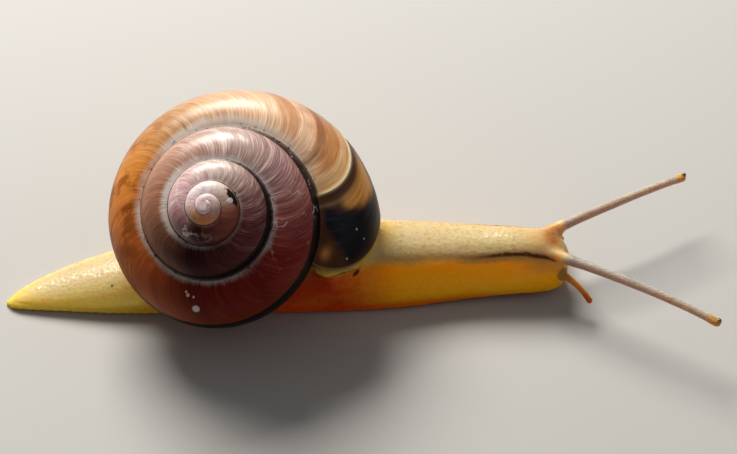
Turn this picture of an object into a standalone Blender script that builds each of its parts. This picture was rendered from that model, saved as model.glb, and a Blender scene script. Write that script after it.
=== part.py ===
"""Banded garden snail, crawling: a still, life-size model in named solids.

The sole lies on z = 0, the head points along +X and +Z is up.  The constants
below are in millimetres, and the meshes are made in metres.
"""
import math

import bmesh
import bpy
import numpy as np
from mathutils import Matrix, Vector

MM = 0.001

# ---- the shell: lengths in millimetres, growth in turns ----------------------
WHORLS = 4.6                 # turns from the nucleus to the lip
SUTURE_RADIUS = 7.59         # at the suture's end, where the lip starts
GROWTH = 0.500               # growth of the radius per turn, as a logarithm
GROWTH_FALL = 0.0438         # extra growth of the early whorls
LAST_WHORL_FALL = 0.340      # slowing of the last whorl's radius
LIP_FLARE = 0.280            # quicker growth again towards the lip
SPIRE_SLOPE = 0.80           # depth of the suture below the apex / its radius
SPIRE_DOME = 1.15            # above 1 the spire has a blunt top
LAST_WHORL_LIFT = 0.010      # how far the last periphery stays above the spiral
BASE_DEPTH = 0.44            # depth of the base below the periphery / its radius
BASE_ARC = math.radians(145.0)    # from the periphery over the base to the axis
STEPS = 48                   # growth steps per turn
LIP_LAG = 4                  # steps by which the periphery lags behind the suture
UPPER_ROWS = 5               # rows from suture to periphery
BASE_ROWS = 9                # rows from periphery to axis
LIP_WALL = 0.38              # thickness of the shell at its mouth
MOUTH_STEPS = 5              # growth steps that the mouth goes back
MOUTH_AHEAD = 2              # steps by which the mouth's cutter starts before the lip
MOUTH_RAYS = 34              # points round the mouth
# shares of the periphery's radius
MOUTH_MIDDLE = (0.61, 0.14)  # the mouth's middle, out from the axis and below the periphery
MOUTH_STRIDE = 0.02          # first stride of the walk from there to the wall
MOUTH_FINENESS = 0.001       # last stride
# growth step and inset of the mantle's collar: it fills the mouth and rolls out past the lip
COLLAR = ((-3.4, 0.68), (-2.4, 0.68), (-1.3, 0.68), (-0.3, 0.68), (0.12, 0.64),
          (0.32, 0.32), (0.54, 0.26), (0.72, 0.46))
ROOM_TURNS = 1.9             # turns of the shell that the flesh is kept clear of
APEX = Vector((-0.52, -4.75, 14.07))
AXIS = Vector((-0.131, -0.570, 0.811))    # from the base to the apex
LIP_TURN = math.radians(-33.6)            # azimuth of the suture's end

# ---- the body, in millimetres -------------------------------------------------
GAP = 0.30                   # left between pieces that meet
SOLE_SHARE = 0.86            # flat of the sole / greatest width
SOLE_POINTS = (-0.66, -0.33, 0.0, 0.33, 0.66, 1.0)    # shares of the flat
FRINGE = 0.32                # height of the foot's edge
FRINGE_SHARE = 0.4           # and the most that it may be of the body's own height
BACK_POINTS = 15             # over the arch of the back
FLANK_FULLNESS = 0.85        # 1 is a round arch, less a squarer one
BACK_FULLNESS = 0.90
# x, middle of the back, half width, top of the back, lift of the sole
BODY = (
    (-17.25, -2.32, 0.25, 0.40, 0.0),
    (-16.60, -2.12, 0.62, 0.66, 0.0),
    (-15.40, -1.75, 1.16, 1.02, 0.0),
    (-12.60, -1.05, 2.08, 1.68, 0.0),
    (-8.80, -0.45, 2.88, 2.60, 0.0),
    (-4.00, 0.00, 3.35, 3.60, 0.0),
    (3.00, 0.20, 3.50, 4.90, 0.0),
    (9.50, 0.30, 3.38, 5.70, 0.0),
    (13.00, 0.62, 3.46, 5.00, 0.0),
    (18.90, 0.84, 2.92, 4.60, 0.26),
    (23.00, 0.66, 2.44, 4.75, 0.50),
    (24.60, 0.56, 2.20, 4.62, 0.58),
    (25.60, 0.48, 1.84, 4.22, 0.72),
    (26.20, 0.44, 1.30, 3.65, 1.05),
    (26.50, 0.42, 0.52, 2.95, 1.85),
)
BODY_RINGS = 44
BODY_CUTS = {"tail": -9.4, "neck": 14.2, "head": 22.1}    # x of the cuts
BODY_CUT = (24.0, 4.0)       # width of the discs that part it, and their middle's height
BODY_PLACES = {              # a place in each length
    "tail": (-13.0, -1.0, 1.0),
    "trunk": (2.0, 0.0, 1.0),
    "neck": (18.0, 1.0, 2.0),
    "head": (24.0, 0.6, 3.0),
}
STALK_FOOT = (6.9, 0.3, 1.6)      # middle of the stalk where it leaves the foot
STALK_HALF = (6.6, 3.2)           # its half length and half width there
STALK_SLOPE = 2.8                 # how much higher it starts at its two ends
STALK_RINGS = 6
STALK_TOP = 0.1                   # growth step of its top, just outside the mouth
LIPS = ((25.55, 0.92, 1.90), (25.62, -0.14, 1.90))        # middles of the lip lobes
LIP_HALF = (0.85, 0.66, 0.70)
LIP_ROUND = (10, 6)               # points round a lobe, and bands from end to end
# root inside the head, middle of the arch, tip
UPPER_TENTACLES = {
    "right": ((24.3, -0.05, 3.85), (30.8, -3.85, 4.45), (36.55, -7.30, 4.20)),
    "left": ((24.3, 1.55, 3.85), (30.5, 4.45, 4.50), (35.90, 7.35, 4.20)),
}
LOWER_TENTACLES = {
    "right": ((25.0, -0.50, 2.50), (26.7, -1.80, 2.20), (27.90, -2.95, 1.40)),
    "left": ((24.7, 1.40, 2.40), (25.7, 2.75, 2.00), (26.30, 3.65, 1.10)),
}
UPPER_RADII = (0.50, 0.36, 0.41)  # root, slimmest, tip
LOWER_RADII = (0.38, 0.27, 0.30)
TENTACLE_RINGS = 14
TENTACLE_SIDES = 12
TENTACLE_SLIM = (0.8, 0.8)        # share of the length where it is slimmest, and the taper
TENTACLE_KNOB = 2.2               # length of the swollen tip / its radius
TENTACLE_CAP = (0.40, 0.72, 0.92)    # heights of the rings over the tip / its radius
UPPER_CUTS = {"root": 0.17, "middle": 0.46, "tip": 0.74}    # where each length begins
LOWER_CUTS = {"": 0.40}
TENTACLE_CUT = 1.7                # width of the discs that part a tentacle
PATH_POINTS = 101                 # along the middle line that the cuts are set out on
EYE_RADIUS = 0.20
EYE_ROUND = (14, 10)
EYE_LIFT = 0.24                   # of the eye's middle over the tentacle's middle line
EYE_BACK = 0.29                   # of the eye's middle behind the tip
EYE_GAP = 0.04

# ---- finishes -------------------------------------------------------------------
FINISHES = {                 # colour, roughness
    "shell": ((0.30, 0.075, 0.028), 0.28),
    "flesh": ((0.78, 0.44, 0.11), 0.42),
    "mantle": ((0.70, 0.52, 0.16), 0.40),
    "tentacle": ((0.45, 0.36, 0.34), 0.40),
    "eye": ((0.035, 0.022, 0.016), 0.15),
}


def finish(name):
    """The named Principled material, made once."""
    if name in bpy.data.materials:
        return bpy.data.materials[name]
    material = bpy.data.materials.new(name)
    material.use_nodes = True
    shader = material.node_tree.nodes["Principled BSDF"]
    colour, roughness = FINISHES[name]
    shader.inputs["Base Color"].default_value = (*colour, 1.0)
    shader.inputs["Roughness"].default_value = roughness
    shader.inputs["Metallic"].default_value = 0.0
    material.diffuse_color = (*colour, 1.0)
    return material


def closed_object(name, points, faces, finish_name="flesh"):
    """An object from millimetre points and faces, its faces turned outwards."""
    mesh = bpy.data.meshes.new(name)
    mesh.from_pydata([tuple(c * MM for c in p) for p in points], [], faces)
    work = bmesh.new()
    work.from_mesh(mesh)
    bmesh.ops.recalc_face_normals(work, faces=work.faces)
    bmesh.ops.triangulate(work, faces=work.faces)
    work.to_mesh(mesh)
    work.free()
    mesh.shade_smooth()
    mesh.materials.append(finish(finish_name))
    thing = bpy.data.objects.new(name, mesh)
    bpy.context.scene.collection.objects.link(thing)
    return thing


def tube(name, loops, finish_name="flesh"):
    """A closed solid through equal loops of points, with a fan over each end."""
    count = len(loops[0])
    points = [p for loop in loops for p in loop]
    faces = []
    for row in range(len(loops) - 1):
        for i in range(count):
            j = (i + 1) % count
            a = row * count
            b = a + count
            faces.append((a + i, a + j, b + j, b + i))
    for loop, start in ((loops[0], 0), (loops[-1], (len(loops) - 1) * count)):
        points.append(tuple(np.mean(np.array(loop), axis=0)))
        hub = len(points) - 1
        faces += [(start + i, start + (i + 1) % count, hub) for i in range(count)]
    return closed_object(name, points, faces, finish_name)


def ball(name, middle, half, rounds, finish_name="flesh"):
    """An ellipsoid: a pole, rings of points, and a pole."""
    segments, bands = rounds
    loops = []
    for k in range(1, bands):
        lift = math.pi * k / bands
        loop = []
        for i in range(segments):
            turn = 2.0 * math.pi * i / segments
            loop.append((middle[0] + half[0] * math.cos(lift),
                         middle[1] + half[1] * math.sin(lift) * math.cos(turn),
                         middle[2] + half[2] * math.sin(lift) * math.sin(turn)))
        loops.append(loop)
    thing = tube(name, loops, finish_name)
    for side, vertex in ((1.0, thing.data.vertices[-2]), (-1.0, thing.data.vertices[-1])):
        vertex.co.x = (middle[0] + side * half[0]) * MM
    return thing


def baked(thing):
    """Replace an object's mesh by the result of its modifiers."""
    bpy.context.view_layer.update()
    seen = thing.evaluated_get(bpy.context.evaluated_depsgraph_get())
    mesh = bpy.data.meshes.new_from_object(seen)
    thing.modifiers.clear()
    thing.data = mesh
    return thing


def combine(thing, others, operation):
    """Union or difference with each of the others, which are then removed."""
    for other in others:
        step = thing.modifiers.new(other.name, "BOOLEAN")
        step.operation = operation
        step.solver = "EXACT"
        step.object = other
    baked(thing)
    for other in others:
        bpy.data.objects.remove(other)
    return thing


# ---- shell ------------------------------------------------------------------------
def suture(turn):
    """Radius and depth of the suture; turn is 0 at the lip and falls to the apex."""
    radius = SUTURE_RADIUS * math.exp(GROWTH * turn - GROWTH_FALL * turn * turn)
    depth = SPIRE_SLOPE * SUTURE_RADIUS * (radius / SUTURE_RADIUS) ** SPIRE_DOME
    return radius, depth


def periphery(turn):
    """Radius and depth of the whorl's widest line, which the next suture follows."""
    if turn <= -1.0:
        return suture(turn + 1.0)
    part = turn + 1.0
    slowing = LAST_WHORL_FALL * part ** 2 - LIP_FLARE * part ** 3
    radius = SUTURE_RADIUS * math.exp(GROWTH * part - slowing)
    drop = GROWTH * SPIRE_DOME * part - LAST_WHORL_LIFT * part * part
    return radius, SPIRE_SLOPE * SUTURE_RADIUS * math.exp(drop)


def whorl(turn, across):
    """Radius and depth; across is 0 at the suture, 1 at the periphery, 2 at the axis."""
    wide, level = periphery(turn)
    if across <= 1.0:
        radius, depth = suture(turn)
        angle = across * math.pi / 2.0
        return (radius + (wide - radius) * math.sin(angle),
                level - (level - depth) * math.cos(angle))
    angle = (across - 1.0) * BASE_ARC
    end = math.cos(BASE_ARC)
    middle = wide * end / (end - 1.0)
    return (max(middle + (wide - middle) * math.cos(angle), 0.0),
            level + BASE_DEPTH * wide * math.sin(angle))


def lag(across):
    """Growth steps by which a growth line trails its start at the suture."""
    return 2.0 * LIP_LAG * math.sin(math.pi * across / 4.0) ** 2


def in_shell(step, radius, depth):
    """A point on the body's frame from a growth step, a radius and a depth."""
    azimuth = LIP_TURN - 2.0 * math.pi * step / STEPS
    return SHELL_PLACE @ Vector((radius * math.cos(azimuth),
                                 radius * math.sin(azimuth), -depth))


def growth_point(step, across):
    back = step - lag(across)
    radius, depth = whorl(back / STEPS, across)
    return in_shell(back, radius, depth)


def across_of(row):
    if row <= UPPER_ROWS:
        return row / UPPER_ROWS
    return 1.0 + (row - UPPER_ROWS) / BASE_ROWS


def shell_solid(name, turns):
    """The outer surface of the last turns, closed over the apex and the mouth."""
    first = -round(turns * STEPS)
    wall = LIP_LAG - STEPS            # the step whose periphery meets the lip's start
    last_row = UPPER_ROWS + BASE_ROWS
    points = []
    index = {}
    for step in range(first, 1):
        for row in range(last_row + 1 if step >= wall else UPPER_ROWS):
            if step == wall and row == UPPER_ROWS:
                continue
            index[step, row] = len(points)
            points.append(growth_point(step, across_of(row)))
    for step in range(first, wall + 1):
        index[step, UPPER_ROWS] = index[step + STEPS - LIP_LAG, 0]
    faces = []
    for step in range(first, 0):
        for row in range(last_row if step >= wall else UPPER_ROWS):
            faces.append((index[step, row], index[step + 1, row],
                          index[step + 1, row + 1], index[step, row + 1]))
    rim = [index[first, row] for row in range(UPPER_ROWS)]
    rim += [index[step, 0] for step in range(first + STEPS - LIP_LAG, first, -1)]
    points.append(in_shell(first, 0.0, suture(first / STEPS)[1] / 2.0))
    hub = len(points) - 1
    faces += [(rim[i], rim[(i + 1) % len(rim)], hub) for i in range(len(rim))]
    lip = [index[0, row] for row in range(last_row + 1)]
    inner = [index[wall, row] for row in range(UPPER_ROWS, last_row + 1)]
    faces += [(lip[0], lip[row], lip[row + 1]) for row in range(1, UPPER_ROWS)]
    for row in range(BASE_ROWS - 1):
        outer = lip[UPPER_ROWS + row:UPPER_ROWS + row + 2]
        faces += [(inner[row], outer[0], outer[1]), (inner[row], outer[1], inner[row + 1])]
    near = lip[-2]
    columella = [index[step, last_row] for step in range(wall, 1)]
    faces += [(near, a, b) for a, b in zip(columella, columella[1:])]
    faces.append((near, inner[-2], inner[-1]))
    return closed_object(name, points, faces, "shell")


def mouth_outline(step):
    """Radius, depth and growth step round the mouth: the lip, then the older whorl."""
    rows = range(UPPER_ROWS + BASE_ROWS + 1)
    older = step - STEPS + LIP_LAG
    outline = []
    for start, ahead, course in ((step, 0, rows), (older, STEPS, rows[:UPPER_ROWS:-1])):
        for row in course:
            back = start - lag(across_of(row))
            outline.append((*whorl(back / STEPS, across_of(row)), back + ahead))
    return np.array(outline)


def nearest_on(point, outline):
    """Distance to a closed outline, and the growth step of the point nearest to it."""
    along = np.roll(outline, -1, axis=0) - outline
    flat = along[:, :2]
    share = ((point - outline[:, :2]) * flat).sum(axis=1) / (flat * flat).sum(axis=1)
    nearest = outline + along * np.clip(share, 0.0, 1.0)[:, None]
    reach = np.sqrt(((point - nearest[:, :2]) ** 2).sum(axis=1))
    return reach.min(), nearest[reach.argmin(), 2]


def mouth_loop(step, inset):
    """The mouth's outline at a growth step, drawn in by a wall's thickness."""
    outline = mouth_outline(step)
    wide, level = periphery(step / STEPS)
    middle = np.array(MOUTH_MIDDLE) * wide + np.array((0.0, level))
    loop = []
    for ray in range(MOUTH_RAYS):
        angle = 2.0 * math.pi * ray / MOUTH_RAYS
        heading = np.array([math.cos(angle), math.sin(angle)])
        reach = 0.0
        stride = MOUTH_STRIDE * wide
        while stride > MOUTH_FINENESS * wide:
            if nearest_on(middle + heading * (reach + stride), outline)[0] > inset:
                reach += stride
            else:
                stride *= 0.5
        spot = middle + heading * reach
        loop.append(in_shell(nearest_on(spot, outline)[1], *spot))
    return loop


def grown(thing, distance):
    """Push every point of an object outwards."""
    work = bmesh.new()
    work.from_mesh(thing.data)
    work.normal_update()
    for vertex in work.verts:
        vertex.co += vertex.normal * distance * MM
    work.to_mesh(thing.data)
    work.free()
    return thing


# ---- body --------------------------------------------------------------------------
def body_at(x):
    """Middle, half width, top and lift of the body at x, smoothly between stations."""
    table = np.array(BODY)
    place = table[:, 0]
    slopes = np.gradient(table[:, 1:], place, axis=0)
    k = int(np.clip(np.searchsorted(place, x) - 1, 0, len(place) - 2))
    span = place[k + 1] - place[k]
    s = (x - place[k]) / span
    return ((2 * s ** 3 - 3 * s ** 2 + 1) * table[k, 1:]
            + (s ** 3 - 2 * s ** 2 + s) * span * slopes[k]
            + (3 * s ** 2 - 2 * s ** 3) * table[k + 1, 1:]
            + (s ** 3 - s ** 2) * span * slopes[k + 1])


def body_ring(x):
    """Flat sole, upright fringe and arched back."""
    middle, half, top, lift = body_at(x)
    lift = max(lift, 0.0)
    ring = [(x, middle + share * SOLE_SHARE * half, lift) for share in SOLE_POINTS]
    edge = lift + min(FRINGE, FRINGE_SHARE * (top - lift))
    for k in range(BACK_POINTS):
        angle = math.pi * k / (BACK_POINTS - 1)
        out = math.copysign(abs(math.cos(angle)) ** FLANK_FULLNESS, math.cos(angle))
        rise = (top - edge) * math.sin(angle) ** BACK_FULLNESS
        ring.append((x, middle + half * out, edge + rise))
    ring.append((x, middle - SOLE_SHARE * half, lift))
    return ring


def stalk():
    """The stem of flesh that rises from the foot into the shell's mouth."""
    top = mouth_loop(STALK_TOP, LIP_WALL + GAP)
    foot = Vector(STALK_FOOT)
    loops = []
    for k in range(STALK_RINGS):
        share = k / (STALK_RINGS - 1)
        ease = 1.0 - (1.0 - share) ** 2
        loop = []
        for spot in top:
            away = spot - foot
            angle = math.atan2(away.y / STALK_HALF[1], away.x / STALK_HALF[0])
            start = foot + Vector((STALK_HALF[0] * math.cos(angle),
                                   STALK_HALF[1] * math.sin(angle),
                                   STALK_SLOPE * math.cos(angle) ** 2))
            mixed = start.lerp(spot, ease)
            mixed.z = start.z + (spot.z - start.z) * share
            loop.append(mixed)
        loops.append(loop)
    return tube("stalk", loops)


def curve_points(spots, count):
    """Points and directions along a smooth arch through three spots."""
    a, b, c = (np.array(s) for s in spots)
    pull = 2.0 * b - 0.5 * (a + c)
    made = []
    for k in range(count):
        s = k / (count - 1)
        point = (1 - s) ** 2 * a + 2 * s * (1 - s) * pull + s * s * c
        heading = (1 - s) * (pull - a) + s * (c - pull)
        made.append((Vector(point), Vector(heading).normalized()))
    return made


def tentacle(name, spots, radii):
    """A slim cone that swells to a round tip."""
    root, slim, tip = radii
    slimmest, taper = TENTACLE_SLIM
    path = curve_points(spots, TENTACLE_RINGS)
    length = (Vector(spots[2]) - Vector(spots[0])).length
    loops = []
    for k, (point, heading) in enumerate(path):
        share = k / (TENTACLE_RINGS - 1)
        radius = root + (slim - root) * min(1.0, share / slimmest) ** taper
        knob = (1.0 - share) * length / (TENTACLE_KNOB * tip)
        radius += (tip - slim) * math.exp(-knob * knob)
        side = heading.cross(Vector((0.0, 0.0, 1.0))).normalized()
        over = side.cross(heading)
        loops.append([point + (side * math.cos(t) + over * math.sin(t)) * radius
                      for t in np.arange(TENTACLE_SIDES) * 2 * math.pi / TENTACLE_SIDES])
    point, heading = path[-1]
    last = loops[-1]
    for share in TENTACLE_CAP:
        scale = math.sqrt(1.0 - share * share)
        loops.append([point + (p - point) * scale + heading * tip * share for p in last])
    return tube(name, loops, "tentacle")


def disc(name, point, heading, width):
    """A thin square block across a direction."""
    bpy.ops.mesh.primitive_cube_add(size=MM)
    block = bpy.context.object
    block.name = name
    turn = Vector(heading).to_track_quat("Z", "Y").to_matrix().to_4x4()
    size = Matrix.Diagonal((width, width, GAP, 1.0))
    block.data.transform(Matrix.Translation(Vector(point) * MM) @ turn @ size)
    return block


def tentacle_cuts(name, spots, starts):
    """A disc where each length of a tentacle begins."""
    path = curve_points(spots, PATH_POINTS)
    return [disc(f"cut_{name}_{length}", *path[round(share * (PATH_POINTS - 1))], TENTACLE_CUT)
            for length, share in starts.items()]


def tentacle_places(name, spots, starts):
    """The middle of each length of a tentacle, by the length's full name."""
    path = curve_points(spots, PATH_POINTS)
    ends = [*starts.values(), 1.0]
    found = {}
    for length, start, end in zip(starts, ends, ends[1:]):
        label = f"{name}_{length}" if length else name
        found[label] = path[round((start + end) / 2.0 * (PATH_POINTS - 1))][0]
    return found


def eye(hand, spots):
    """An eye in the top of a tentacle's tip; what it returns cuts the socket."""
    point, heading = curve_points(spots, 2)[-1]
    over = heading.cross(Vector((0.0, 0.0, 1.0))).normalized().cross(heading)
    spot = point - heading * (EYE_BACK - UPPER_RADII[2]) + over * EYE_LIFT
    ball(f"eye_{hand}", spot, (EYE_RADIUS,) * 3, EYE_ROUND, "eye")
    return ball(f"socket_{hand}", spot, (EYE_RADIUS + EYE_GAP,) * 3, EYE_ROUND)


def islands(thing):
    """Vertex sets of a mesh's separate bodies."""
    work = bmesh.new()
    work.from_mesh(thing.data)
    left = set(work.verts)
    found = []
    while left:
        front = [left.pop()]
        body = set(front)
        while front:
            vertex = front.pop()
            for edge in vertex.link_edges:
                other = edge.other_vert(vertex)
                if other in left:
                    left.remove(other)
                    body.add(other)
                    front.append(other)
        found.append([v.index for v in body])
    work.free()
    return found


def part_by_place(thing, places):
    """Split a mesh into its bodies; each place names the body that lies nearest."""
    bodies = islands(thing)
    for name, place in places.items():
        middle = Vector(place) * MM
        reach = [min((thing.data.vertices[i].co - middle).length for i in body)
                 for body in bodies]
        keep = set(bodies.pop(reach.index(min(reach))))
        mesh = thing.data.copy()
        work = bmesh.new()
        work.from_mesh(mesh)
        bmesh.ops.delete(work, geom=[v for v in work.verts if v.index not in keep],
                         context="VERTS")
        bmesh.ops.translate(work, verts=work.verts, vec=-middle)
        work.to_mesh(mesh)
        work.free()
        mesh.materials.clear()
        mesh.materials.append(finish("tentacle" if "tentacle" in name else "flesh"))
        piece = bpy.data.objects.new(name, mesh)
        piece.location = middle
        bpy.context.scene.collection.objects.link(piece)
    if bodies:
        raise ValueError("the cuts left a body without a name")
    bpy.data.objects.remove(thing)


for old in list(bpy.data.objects):
    bpy.data.objects.remove(old)

up = AXIS.normalized()
side = Vector((up.z, 0.0, -up.x)).normalized()
SHELL_PLACE = Matrix.Translation(APEX) @ Matrix((side, up.cross(side), up)).transposed().to_4x4()

# the shell, its mouth hollowed, and the mantle's collar that fills the mouth
shell = shell_solid("shell", WHORLS)
mouth = [mouth_loop(step, LIP_WALL) for step in range(MOUTH_AHEAD, -MOUTH_STEPS - 1, -1)]
combine(shell, [tube("hollow", mouth)], "DIFFERENCE")
collar = [mouth_loop(step, inset) for step, inset in COLLAR]
tube("mantle_collar", collar, "mantle")

# the flesh as one body, and what parts it
low, high = BODY[0][0], BODY[-1][0]
shares = 0.5 - 0.5 * np.cos(np.linspace(0.0, math.pi, BODY_RINGS))
flesh = tube("flesh", [body_ring(low + (high - low) * share) for share in shares])
added = [stalk()]
added += [ball(f"lip_{k}", middle, LIP_HALF, LIP_ROUND) for k, middle in enumerate(LIPS)]
cuts = [grown(shell_solid("shell_room", ROOM_TURNS), GAP), grown(tube("collar_room", collar), GAP)]
width, height = BODY_CUT
for length, x in BODY_CUTS.items():
    cuts.append(disc(f"cut_{length}", (x, 0.0, height), (1.0, 0.0, 0.0), width))
places = dict(BODY_PLACES)
for hand, spots in UPPER_TENTACLES.items():
    name = f"upper_tentacle_{hand}"
    added.append(tentacle(f"whole_{name}", spots, UPPER_RADII))
    cuts += tentacle_cuts(name, spots, UPPER_CUTS)
    cuts.append(eye(hand, spots))
    places.update(tentacle_places(name, spots, UPPER_CUTS))
for hand, spots in LOWER_TENTACLES.items():
    name = f"lower_tentacle_{hand}"
    added.append(tentacle(f"whole_{name}", spots, LOWER_RADII))
    cuts += tentacle_cuts(name, spots, LOWER_CUTS)
    places.update(tentacle_places(name, spots, LOWER_CUTS))
combine(flesh, added, "UNION")
combine(flesh, cuts, "DIFFERENCE")
part_by_place(flesh, places)
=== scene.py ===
"""A banded grove snail, crawling, as a still, life-size museum model.

The frame's solids say where each piece is.  Sizes below are in millimetres.
"""
import math
from functools import partialmethod

import bmesh
import bpy
import numpy as np
from mathutils import Matrix, Vector
from mathutils.bvhtree import BVHTree
from mathutils.kdtree import KDTree


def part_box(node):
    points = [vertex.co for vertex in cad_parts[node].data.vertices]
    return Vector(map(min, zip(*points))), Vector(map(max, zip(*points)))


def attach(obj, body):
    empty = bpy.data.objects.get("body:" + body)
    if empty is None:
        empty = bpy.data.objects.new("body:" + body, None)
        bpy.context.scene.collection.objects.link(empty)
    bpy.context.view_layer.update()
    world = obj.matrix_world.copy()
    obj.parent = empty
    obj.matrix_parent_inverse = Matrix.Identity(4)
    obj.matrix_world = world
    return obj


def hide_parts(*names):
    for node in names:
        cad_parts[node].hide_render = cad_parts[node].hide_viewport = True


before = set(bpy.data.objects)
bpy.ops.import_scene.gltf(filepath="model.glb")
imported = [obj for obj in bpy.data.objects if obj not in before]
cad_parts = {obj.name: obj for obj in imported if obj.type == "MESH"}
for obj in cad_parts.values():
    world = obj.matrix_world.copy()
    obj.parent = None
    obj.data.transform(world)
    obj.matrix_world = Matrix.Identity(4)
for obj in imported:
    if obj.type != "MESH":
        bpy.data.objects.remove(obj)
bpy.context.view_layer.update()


# ---- the shell ------------------------------------------------------------------
# A right-handed coil of thin, polished lime, laid down at the lip in growth lines.  It
# is red-brown, with one dark band at the widest line.  Its last strip, past a rest in
# growth, is new and not yet opaque.
MM = 0.001                       # a millimetre, in metres
SHELL_SIZES = {
    "Turns": 5.2,                # from the nucleus to the lip
    "Suture radius": 7.59,       # where the lip starts
    "Growth": 0.500,             # of the radius in a turn, as a logarithm
    "Early growth": 0.0438,      # more growth in the first turns
    "Last slowing": 0.340,       # less growth in the last turn
    "Lip flare": 0.280,          # and more again towards the lip
    "Spire slope": 0.80,         # depth of the suture / its radius
    "Spire dome": 1.15,          # above 1 the top is blunt
    "Last lift": 0.010,          # raises the widest line in the last turn
    "Base depth": 0.44,          # of the base below the widest line / its radius
    "Base arc": math.radians(145.0),
    "Slant": 1.0 / 12.0,         # turns by which the widest line trails the suture
    "Wall": 0.30,                # thickness at the lip
    "Mouth depth": 5.0 / 48.0,   # turns of the mouth that are lined
    "Mouth out": 0.61,           # middle of the tube / radius of the widest line
    "Mouth down": 0.14,          # and its depth below that line / the same radius
    "Seam": 0.20,                # step where the lining meets the older whorl
    "Ridges": 0.022,             # height of the growth ridges
    "Rest ridge": 0.06,          # height of the ridge where growth rested
}
REST_AT = -0.108                 # turns from the lip to the rest in growth
COLUMNS = 576                    # growth lines per turn
STEP = 1.0 / COLUMNS             # turns from one growth line to the next
ROWS = 22                        # rows from the suture to the widest line
BASE_COLUMNS = COLUMNS - round(SHELL_SIZES["Slant"] * COLUMNS)   # growth lines with a base
RIM_COLUMNS = 4                  # quads over the thickness of the lip's edge
RIM_WIDTH = 0.01                 # turns that the rim's flat patch takes
RIM_BULGE = 0.0016               # turns by which the lip's edge is rounded out
SEAM_LENGTH = 0.05               # turns over which the seam's step grows from the lip
MERGE_WITHIN = 0.0006            # closes the joints between the patches
INNER = 3.0                      # what the growth map adds to across on the inner side
ARC_SCALE = 100.0                # of the patterns that run with the growth lines
APEX = Vector((-0.52, -4.75, 14.07))           # the tip of the coil
SHELL_AXIS = Vector((-0.131, -0.570, 0.811))   # which way the tip points
LIP_TURN = math.radians(-33.6)   # where round the axis the lip starts


class Value:
    """What a node gives, so that Python's own signs can be used on it."""

    def __init__(self, socket):
        self.socket = socket

    def worked(self, operation, *others, turned=False):
        """What a Math node makes of this value and the others, or of them turned round."""
        made = self.socket.id_data.nodes.new("ShaderNodeMath")
        made.operation = operation
        terms = (*others, self) if turned else (self, *others)
        for socket, term in zip(made.inputs, terms):
            feed(socket, term)
        return Value(made.outputs[0])

    __add__ = __radd__ = partialmethod(worked, "ADD")
    __sub__ = partialmethod(worked, "SUBTRACT")
    __rsub__ = partialmethod(worked, "SUBTRACT", turned=True)
    __mul__ = __rmul__ = partialmethod(worked, "MULTIPLY")
    __truediv__ = partialmethod(worked, "DIVIDE")
    __rtruediv__ = partialmethod(worked, "DIVIDE", turned=True)
    __pow__ = partialmethod(worked, "POWER")
    __neg__ = partialmethod(worked, "MULTIPLY", -1.0)
    __abs__ = partialmethod(worked, "ABSOLUTE")
    sine = partialmethod(worked, "SINE")
    cosine = partialmethod(worked, "COSINE")
    exp = partialmethod(worked, "EXPONENT")
    root = partialmethod(worked, "SQRT")
    least = partialmethod(worked, "MINIMUM")
    most = partialmethod(worked, "MAXIMUM")
    above = partialmethod(worked, "GREATER_THAN")

    def rise(self, low, high):
        """0 below low, 1 above high, smooth between; low may be the greater."""
        made = self.socket.id_data.nodes.new("ShaderNodeMapRange")
        made.interpolation_type = "SMOOTHSTEP"
        ends = (low, high, 0.0, 1.0)
        if isinstance(low, float) and isinstance(high, float) and low > high:
            ends = (high, low, 1.0, 0.0)
        for socket, end in zip(made.inputs, (self, *ends)):
            feed(socket, end)
        return Value(made.outputs[0])

    def hump(self, middle, width):
        """1 at the middle, falling to nothing over a few widths on either side."""
        off = (self - middle) / width
        return (-(off * off)).exp()


def feed(socket, value):
    """Link a value into a socket, or set the socket to a plain number or colour."""
    if isinstance(value, Value):
        socket.id_data.links.new(value.socket, socket)
    elif isinstance(value, tuple) and len(value) == 3 and socket.type == "RGBA":
        socket.default_value = (*value, 1.0)
    else:
        socket.default_value = value


def socket_named(sockets, name):
    """A socket by its number, or the one in use by its name."""
    if isinstance(name, int):
        return sockets[name]
    return next(s for s in sockets if s.name == name and s.enabled)


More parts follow.
